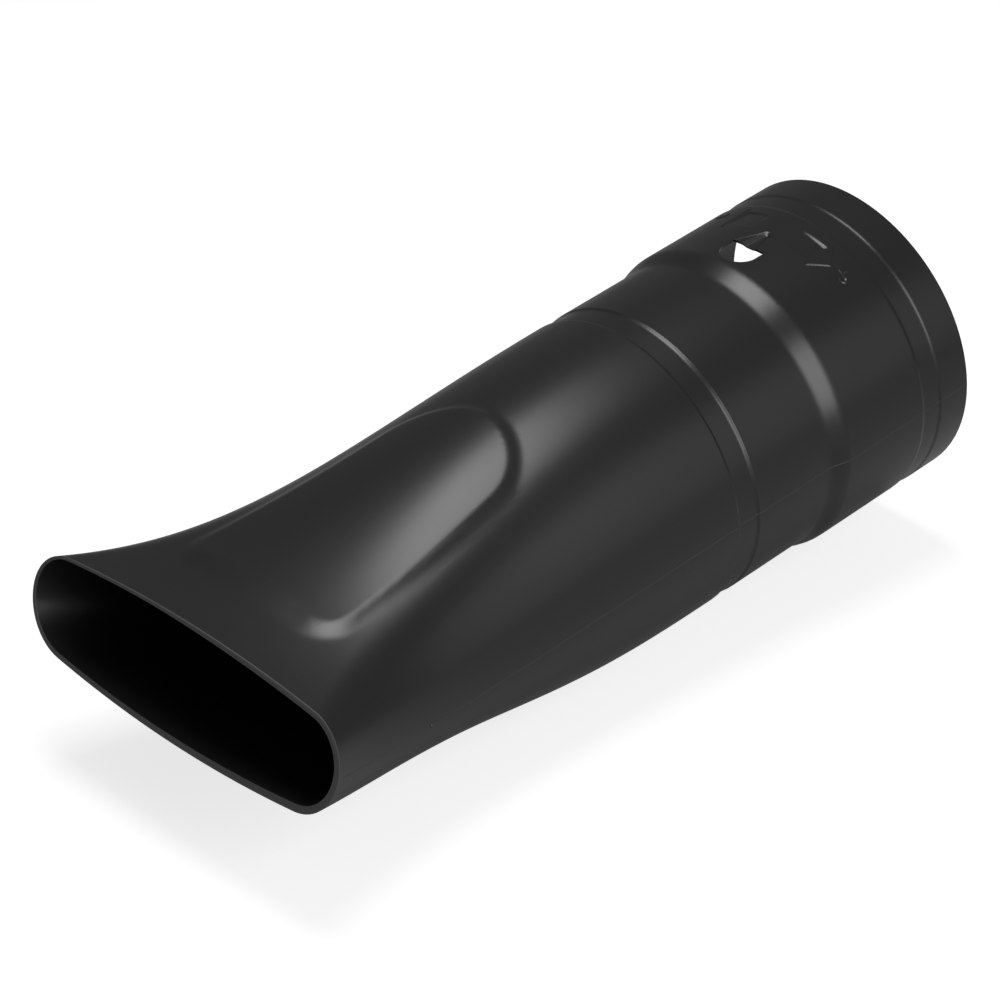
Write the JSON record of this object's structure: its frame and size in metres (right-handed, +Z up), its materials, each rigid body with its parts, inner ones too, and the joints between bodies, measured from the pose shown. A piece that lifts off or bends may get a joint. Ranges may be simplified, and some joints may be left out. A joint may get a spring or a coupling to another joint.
{
  "type": "leaf blower nozzle tube",
  "caption": "Blow-moulded plastic blower nozzle: a round latching socket and grooved neck that bend and flatten into a wide, raked outlet mouth with a raised panel on top.",
  "frame": {"origin": "ground point under the middle of the bounding box, with the tube lying on its belly", "axes": "+Y along the tube from the mouth to the socket, +Z up with the latch opening on top, +X to the right seen from the mouth's side of the latch"},
  "size_m": [0.125, 0.269, 0.1063],
  "materials": {
    "black_plastic": "satin black polyethylene with a fine grain"
  },
  "bodies": {
    "root": {"nozzle_tube": "black_plastic"}
  },
  "joints": []
}
